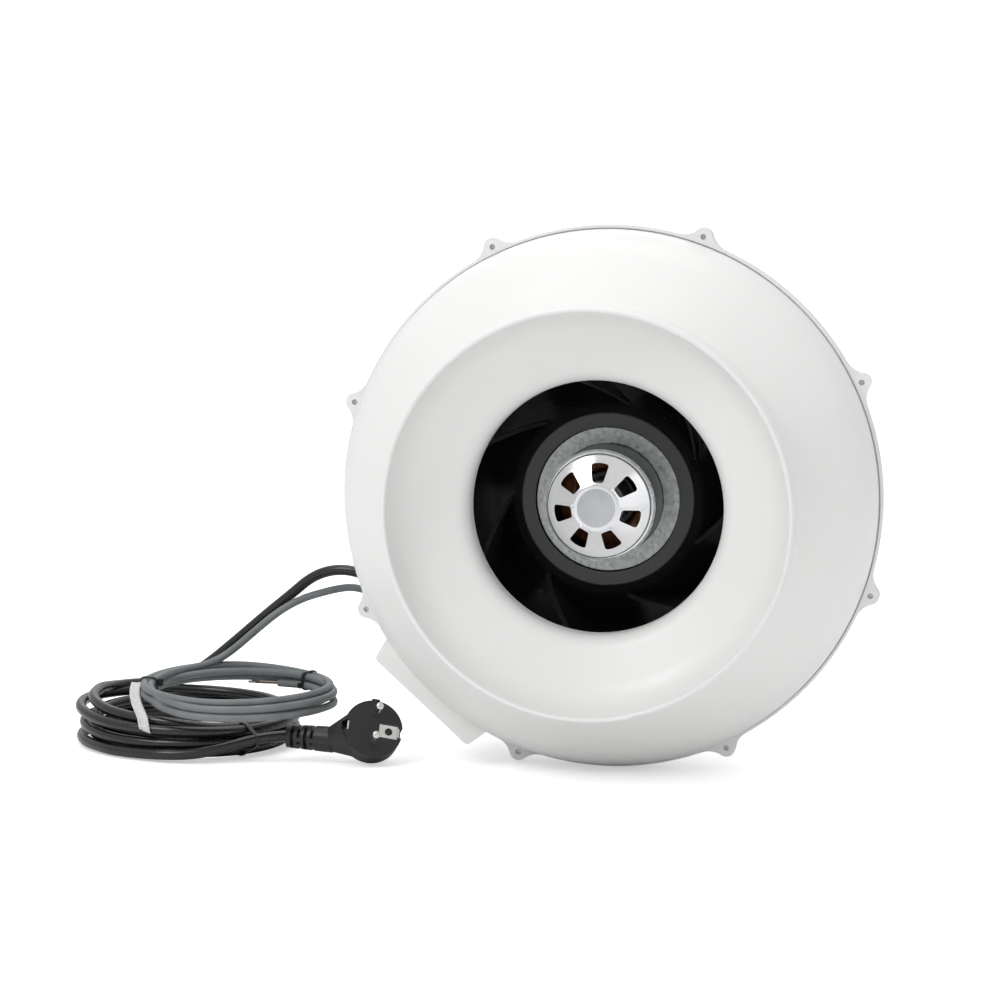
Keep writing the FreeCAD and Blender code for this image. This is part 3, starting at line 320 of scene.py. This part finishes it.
def floor_material():
    m = Recipe("studio_floor")
    m.colour(m.blend(m.noise(1.5, 2.0), (0.93, 0.93, 0.93), (0.95, 0.95, 0.95)))
    m.roughness(m.remap(m.noise(6.0), 0.55, 0.7))
    m.set(Emission_Color=(1.0, 1.0, 1.0, 1.0))
    seen = m.tree.nodes.new("ShaderNodeLightPath").outputs["Is Camera Ray"]
    m.link(m.maths("MULTIPLY", seen, 0.45), m.shader.inputs["Emission Strength"])
    return m.material


def moulded_plastic(name, first, second, rough, grain=900.0, grain_strength=0.12, coat=0.0):
    """Injection-moulded plastic: a fine grain, faint flow marks and a slight change of tone."""
    m = Recipe(name)
    m.colour(m.blend(m.remap(m.noise(9.0, 2.0), 0.0, 1.0), first, second))
    m.roughness(m.remap(m.noise(60.0, 4.0), rough[0], rough[1]))
    m.bump(m.noise(grain, 2.0), grain_strength, 0.00006)
    m.bump(m.noise(14.0, 1.0), 0.06, 0.0004)
    m.set(Coat_Weight=coat, Coat_Roughness=0.25)
    return m.material


def galvanised_steel():
    """Zinc spangle: flat crystals of differing brightness, with fine grain inside each."""
    m = Recipe("galvanised_steel")
    crystal = m.cells(420.0)
    tone = m.maths("ADD", m.maths("MULTIPLY", crystal, 0.7), m.maths("MULTIPLY", m.noise(700.0), 0.3))
    m.colour(m.blend(m.remap(tone, 0.0, 1.0, 0.15, 0.85), (0.22, 0.235, 0.23), (0.47, 0.49, 0.485)))
    m.roughness(m.remap(crystal, 0.30, 0.46, 0.1, 0.9))
    m.bump(m.cells(420.0, "Distance"), 0.18, 0.00008)
    m.bump(m.noise(900.0), 0.15, 0.00004)
    m.set(Metallic=1.0)
    return m.material


def turned_metal(name, first, second, rough, ring_scale=1400.0, strength=0.14):
    """Metal spun or turned about the fan's axis: fine rings of differing polish."""
    m = Recipe(name)
    rings = m.rings((0.0, 0.0, AXIS_HEIGHT), ring_scale)
    m.colour(m.blend(m.remap(m.noise(35.0), 0.0, 1.0), first, second))
    m.roughness(m.remap(rings, rough[0], rough[1]))
    m.bump(rings, strength, 0.00003)
    m.set(Metallic=1.0)
    return m.material


def plated_metal(name, first, second, rough):
    m = Recipe(name)
    m.colour(m.blend(m.remap(m.noise(120.0), 0.0, 1.0), first, second))
    m.roughness(m.remap(m.noise(500.0), rough[0], rough[1]))
    m.bump(m.noise(1500.0), 0.08, 0.00003)
    m.set(Metallic=1.0)
    return m.material


def laminations():
    m = Recipe("laminations")
    wave = m.tree.nodes.new("ShaderNodeTexWave")
    wave.bands_direction = "Y"
    wave.inputs["Scale"].default_value = 320.0
    wave.inputs["Distortion"].default_value = 0.2
    m.link(m.coordinates, wave.inputs["Vector"])
    m.colour(m.blend(m.noise(90.0), (0.16, 0.15, 0.15), (0.36, 0.35, 0.33)))
    m.roughness(m.remap(m.noise(300.0), 0.4, 0.6))
    m.bump(wave.outputs["Fac"], 0.5, 0.0002)
    m.set(Metallic=0.9)
    return m.material


def copper_wire():
    m = Recipe("copper_wire")
    m.colour(m.blend(m.remap(m.noise(220.0), 0.0, 1.0), (0.10, 0.035, 0.015), (0.24, 0.09, 0.035)))
    m.roughness(m.remap(m.noise(400.0), 0.25, 0.45))
    m.bump(m.noise(1000.0, 1.0, vector=m.mapped((1.0, 0.15, 1.0))), 0.6, 0.0003)
    m.set(Metallic=0.8, Coat_Weight=0.5)
    return m.material


def cable_jacket(name, first, second, rough, coat):
    """Extruded PVC: slight waves along the cable, fine pitting and rubbed patches."""
    m = Recipe(name)
    m.colour(m.blend(m.remap(m.noise(45.0, 4.0), 0.0, 1.0), first, second))
    m.roughness(m.remap(m.noise(130.0, 4.0), rough[0], rough[1]))
    m.bump(m.noise(190.0, 2.0), 0.16, 0.00025)
    m.bump(m.noise(1600.0, 2.0), 0.12, 0.00005)
    m.set(Coat_Weight=coat, Coat_Roughness=0.18)
    return m.material


def rubber(name, tone):
    m = Recipe(name)
    m.colour(m.blend(m.noise(80.0), (tone, tone, tone), (tone * 1.7, tone * 1.7, tone * 1.7)))
    m.roughness(m.remap(m.noise(260.0), 0.6, 0.8))
    m.bump(m.noise(1100.0), 0.25, 0.00006)
    return m.material


def blank_foil():
    m = Recipe("blank_foil")
    m.colour(m.blend(m.remap(m.noise(60.0), 0.0, 1.0), (0.46, 0.48, 0.50), (0.56, 0.57, 0.58)))
    m.roughness(m.remap(m.noise(500.0), 0.30, 0.42))
    m.bump(m.noise(250.0, 3.0), 0.08, 0.00004)
    m.set(Metallic=0.7)
    return m.material


def woven_tag():
    """White plastic strip with a fine cross weave."""
    m = Recipe("woven_tag")
    threads = m.maths("MULTIPLY", m.noise(900.0, 1.0, vector=m.mapped((1.0, 1.0, 0.2))), 1.0)
    m.colour(m.blend(m.remap(threads, 0.0, 1.0), (0.50, 0.50, 0.49), (0.72, 0.72, 0.71)))
    m.roughness(m.remap(m.noise(300.0), 0.4, 0.6))
    m.bump(threads, 0.5, 0.0002)
    return m.material


def make_materials():
    return {
        "casing_plastic": moulded_plastic(
            "casing_plastic", (0.80, 0.80, 0.79), (0.83, 0.83, 0.82), (0.34, 0.42)),
        "black_plastic": moulded_plastic(
            "black_plastic", (0.018, 0.018, 0.019), (0.028, 0.028, 0.03), (0.38, 0.5)),
        "impeller_plastic": moulded_plastic(
            "impeller_plastic", (0.009, 0.009, 0.009), (0.016, 0.016, 0.016), (0.26, 0.36),
            grain=700.0, grain_strength=0.12, coat=0.25),
        "galvanised_steel": galvanised_steel(),
        "polished_aluminium": turned_metal(
            "polished_aluminium", (0.74, 0.75, 0.77), (0.84, 0.84, 0.85), (0.12, 0.22)),
        "lamination_steel": laminations(),
        "bearing_steel": turned_metal("bearing_steel", (0.55, 0.56, 0.58), (0.66, 0.67, 0.69), (0.12, 0.24)),
        "zinc_screw": plated_metal("zinc_screw", (0.36, 0.37, 0.38), (0.52, 0.53, 0.54), (0.26, 0.42)),
        "copper_wire": copper_wire(),
        "ferrite": rubber("ferrite", 0.03),
        "cast_alloy": plated_metal("cast_alloy", (0.42, 0.43, 0.44), (0.56, 0.57, 0.58), (0.42, 0.6)),
        "gasket_rubber": rubber("gasket_rubber", 0.02),
        "mains_pvc": cable_jacket(
            "mains_pvc", (0.004, 0.004, 0.0045), (0.010, 0.010, 0.011), (0.24, 0.34), coat=0.15),
        "control_pvc": cable_jacket(
            "control_pvc", (0.135, 0.150, 0.155), (0.185, 0.200, 0.205), (0.42, 0.56), coat=0.0),
        "plug_pvc": moulded_plastic(
            "plug_pvc", (0.010, 0.010, 0.011), (0.018, 0.018, 0.020), (0.36, 0.5),
            grain=1100.0, grain_strength=0.3),
        "nickel": plated_metal("nickel", (0.70, 0.69, 0.66), (0.82, 0.81, 0.78), (0.14, 0.26)),
        "blank_label": blank_foil(),
        "terminal_plastic": moulded_plastic(
            "terminal_plastic", (0.62, 0.60, 0.52), (0.70, 0.68, 0.60), (0.4, 0.5)),
        "tag_film": woven_tag(),
        "tie_nylon": moulded_plastic("tie_nylon", (0.010, 0.010, 0.010), (0.018, 0.018, 0.018), (0.3, 0.42)),
    }


def dress_nodes(materials):
    slots = {part["node"]: part["material_slot"] for part in frame["record"]["subparts"]}
    for name, node in frame["nodes"].items():
        node.data.materials.clear()
        node.data.materials.append(materials[slots[name]])


# ==================================================================================================
# Cords
# ==================================================================================================
def ease(share):
    return share * share * (3 - 2 * share)


def coil_knots(coil):
    """(angle, radius, height) of every place given for the coil's cord, in order along it."""
    start = place_of(coil, coil["start"])
    knots = [start] + [(math.radians(a), radius * MM, height * MM) for a, radius, height in coil["lead_in"]]
    for turn, row in enumerate(coil["strands"]):
        for station, (radius, height) in zip(coil["stations"], row):
            knots.append((math.radians(station + 360 * turn), radius * MM, height * MM))
    end = place_of(coil, coil["end"])
    turns = math.ceil((knots[-1][0] - end[0]) / math.tau)
    knots.append((end[0] + turns * math.tau, end[1], end[2]))
    return knots


def place_of(coil, point):
    x, y = point[0] - coil["centre"][0], point[1] - coil["centre"][1]
    return math.atan2(y, x) % math.tau, math.hypot(x, y) * MM, point[2] * MM


def place_in_coil(coil, angle):
    """(radius, height) of the cord's centre at this angle, counted on from the coil's first turn."""
    knots = coil_knots(coil)
    for before, after in zip(knots, knots[1:]):
        if angle <= after[0] or after is knots[-1]:
            share = ease(max(0.0, min(1.0, (angle - before[0]) / (after[0] - before[0]))))
            return before[1] + (after[1] - before[1]) * share, before[2] + (after[2] - before[2]) * share


def coil_points(coil):
    """Control points of the coil's turns, which stand out a little because the spline cuts inside them."""
    knots = coil_knots(coil)
    first, last = knots[0][0], knots[-1][0]
    steps = round((last - first) / math.tau * POINTS_PER_TURN)
    close = [0.5, 1.0, 1.5]              # shorter runs where the coil meets the lead at each end
    places = close + list(range(2, steps - 1)) + [steps - k for k in reversed(close)]
    points = []
    for k in places:
        angle = first + (last - first) * k / steps
        radius, height = place_in_coil(coil, angle)
        run = min(1.0, 0.35 + 0.2 * max(1, min(k, steps - k)))
        outset = 1 / math.cos(math.pi * run / POINTS_PER_TURN)
        points.append((
            coil["centre"][0] * MM + radius * outset * math.cos(angle),
            coil["centre"][1] * MM + radius * outset * math.sin(angle), height))
    return points


def cord_curve(name, points, diameter, material):
    data = bpy.data.curves.new(name, "CURVE")
    data.dimensions = "3D"
    data.bevel_depth = diameter / 2
    data.bevel_resolution = 6
    data.resolution_u = 6
    data.use_fill_caps = True
    spline = data.splines.new("NURBS")
    spline.points.add(len(points) - 1)
    for point, place in zip(spline.points, points):
        point.co = (*place, 1.0)
    spline.order_u = 3
    spline.use_endpoint_u = True
    spline.use_smooth = True
    cord = bpy.data.objects.new(name, data)
    bpy.context.scene.collection.objects.link(cord)
    data.materials.append(material)
    return cord


def mesh_object(name, shape, material, smooth=True):
    mesh = bpy.data.meshes.new(name)
    bmesh.ops.recalc_face_normals(shape, faces=shape.faces)
    shape.to_mesh(mesh)
    shape.free()
    for polygon in mesh.polygons:
        polygon.use_smooth = smooth
    mesh.materials.append(material)
    piece = bpy.data.objects.new(name, mesh)
    bpy.context.scene.collection.objects.link(piece)
    return piece


def strands_at(coil, degrees):
    """(radius, height) of every strand that passes this angle round the coil."""
    knots = coil_knots(coil)
    angle = math.radians(degrees) % math.tau
    strands = []
    while angle < knots[-1][0] + math.radians(6):
        if angle > knots[0][0]:
            strands.append(place_in_coil(coil, angle))
        angle += math.tau
    return strands


def tie(name, coil, degrees, width, material, more=()):
    """A strap drawn tight round the strands at one angle of the coil, with its head on the inner side."""
    strands = strands_at(coil, degrees) + list(more)
    gap, thickness = coil["diameter"] / 2 + STRAP_GAP, STRAP_THICKNESS
    angle = math.radians(degrees)
    outward = Vector((math.cos(angle), math.sin(angle), 0.0))
    onward = Vector((-math.sin(angle), math.cos(angle), 0.0))
    middle = Vector((coil["centre"][0] * MM, coil["centre"][1] * MM, 0.0))

    def place(r, z, along):
        return middle + outward * r + Vector((0.0, 0.0, max(z, 0.0002))) + onward * along

    shape = bmesh.new()
    loops = []
    for k in range(STRAP_STEPS):
        a = math.tau * k / STRAP_STEPS
        r, z = max(strands, key=lambda s: s[0] * math.cos(a) + s[1] * math.sin(a))
        loop = []
        for out, along in ((0, -1), (0.75, -1), (1, -0.7), (1, 0.7), (0.75, 1), (0, 1)):
            reach = gap + thickness * out
            loop.append(shape.verts.new(
                place(r + reach * math.cos(a), z + reach * math.sin(a), along * width / 2)))
        loops.append(loop)
    for k in range(STRAP_STEPS):
        here, there = loops[k], loops[(k + 1) % STRAP_STEPS]
        for i in range(6):
            j = (i + 1) % 6
            shape.faces.new((here[i], here[j], there[j], there[i]))
    inner_r, inner_z = min(strands, key=lambda s: s[0])
    size = Vector((0.0026, width * 1.6, 0.0036))
    head = bmesh.ops.create_cube(shape, size=1.0)["verts"]
    for vertex in head:
        x, y, z = vertex.co
        vertex.co = place(inner_r - gap - thickness - size.x * (0.4 - x), inner_z + z * size.z, y * size.y)
    edges = list({e for v in head for e in v.link_edges})
    bmesh.ops.bevel(shape, geom=edges, offset=0.0005, segments=2, affect="EDGES")
    return mesh_object(name, shape, material, smooth=False)


def cable_tag(material):
    """A flat strip that leaves the control lead's left strap and bends down over the mains coil."""
    spine = [Vector(p) * MM for p in TAG_SPINE]
    across = Vector((0.93, 0.37, 0.0)) * (TAG_WIDTH / 2 * MM)
    thick = TAG_HALF_THICKNESS
    shape = bmesh.new()
    rows = []
    for i, point in enumerate(spine):
        ahead = spine[min(i + 1, len(spine) - 1)] - spine[max(i - 1, 0)]
        normal = across.cross(ahead).normalized()
        last = i == len(spine) - 1
        left = point - across
        right = point + across + (ahead.normalized() * TAG_SLANT if last else Vector())
        centre = (left + right) / 2 + normal * 0.0005
        rows.append([shape.verts.new(v) for v in (
            left + normal * thick, centre + normal * thick, right + normal * thick,
            right - normal * thick, centre - normal * thick, left - normal * thick)])
    for a, b in zip(rows, rows[1:]):
        for i in range(6):
            j = (i + 1) % 6
            shape.faces.new((a[i], a[j], b[j], b[i]))
    shape.faces.new(rows[0])
    shape.faces.new(rows[-1][::-1])
    bmesh.ops.subdivide_edges(shape, edges=shape.edges, cuts=2, smooth=0.6, use_grid_fill=True)
    return mesh_object("cable_strip", shape, material)


def make_cords(materials):
    mains_points = MAINS_ROUTE + coil_points(MAINS_COIL) + MAINS_TAIL
    control_points = CONTROL_ROUTE + coil_points(CONTROL_COIL) + CONTROL_END
    mains = cord_curve("mains_cord", mains_points, MAINS_D, materials["mains_pvc"])
    control = cord_curve("control_cord", control_points, CONTROL_D, materials["control_pvc"])
    nylon = materials["tie_nylon"]
    mains_angle = MAINS_COIL["ties"][0]
    left_angle, right_angle = CONTROL_COIL["ties"]
    mains_tie = tie("mains_strap", MAINS_COIL, mains_angle, MAINS_STRAP_WIDTH, nylon, more=[TAIL_AT_TIE])
    left_tie = tie("control_strap_left", CONTROL_COIL, left_angle, CONTROL_STRAP_WIDTH, nylon)
    right_tie = tie("control_strap_right", CONTROL_COIL, right_angle, CONTROL_STRAP_WIDTH, nylon)
    tag = cable_tag(materials["tag_film"])
    cores = control_cores(materials)
    pieces = [mains, control, mains_tie, right_tie, left_tie, tag] + cores
    for piece in pieces:
        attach(piece, "casing")
    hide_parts("mains_lead", "mains_coil", "mains_tail")
    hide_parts("control_lead", "control_coil")
    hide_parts("mains_tie")
    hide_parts("control_ties")
    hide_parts("cable_tag")


def control_cores(materials):
    """The stripped end of the control lead: three cores in crimped sleeves, lying in the coil."""
    end = Vector(CONTROL_END[-1])
    way = (end - Vector(CONTROL_END[-2])).normalized()
    side = way.cross(Vector((0.0, 0.0, 1.0))).normalized()
    pieces = []
    for k, (name, colour) in enumerate(CORE_COLOURS.items()):
        lean = side * ((k - 1) * 0.0022)
        start = end - way * 0.002 + lean * 0.5
        points = [start]
        for ahead, spread in ((0.006, 0.3), (0.012, 1.0), (0.018, 1.3)):
            points.append(start + way * ahead + lean * spread)
        skin = moulded_plastic(f"core_{name}", colour, tuple(c * 1.3 for c in colour), (0.35, 0.45))
        core = cord_curve(f"control_core_{name}", [tuple(p) for p in points], CORE_D, skin)
        sleeve_points = [tuple(points[-1]), tuple(points[-1] + way * 0.003), tuple(points[-1] + way * 0.006)]
        sleeve = cord_curve(f"control_ferrule_{name}", sleeve_points, FERRULE_D, materials["nickel"])
        pieces += [core, sleeve]
    return pieces


# ==================================================================================================
# The scene
# ==================================================================================================
def main():
    make_camera()
    materials = make_materials()
    make_cords(materials)
    dress_nodes(materials)
    make_floor()
    make_lights()
    bpy.context.scene.view_settings.view_transform = "Standard"
    bpy.context.view_layer.update()


main()
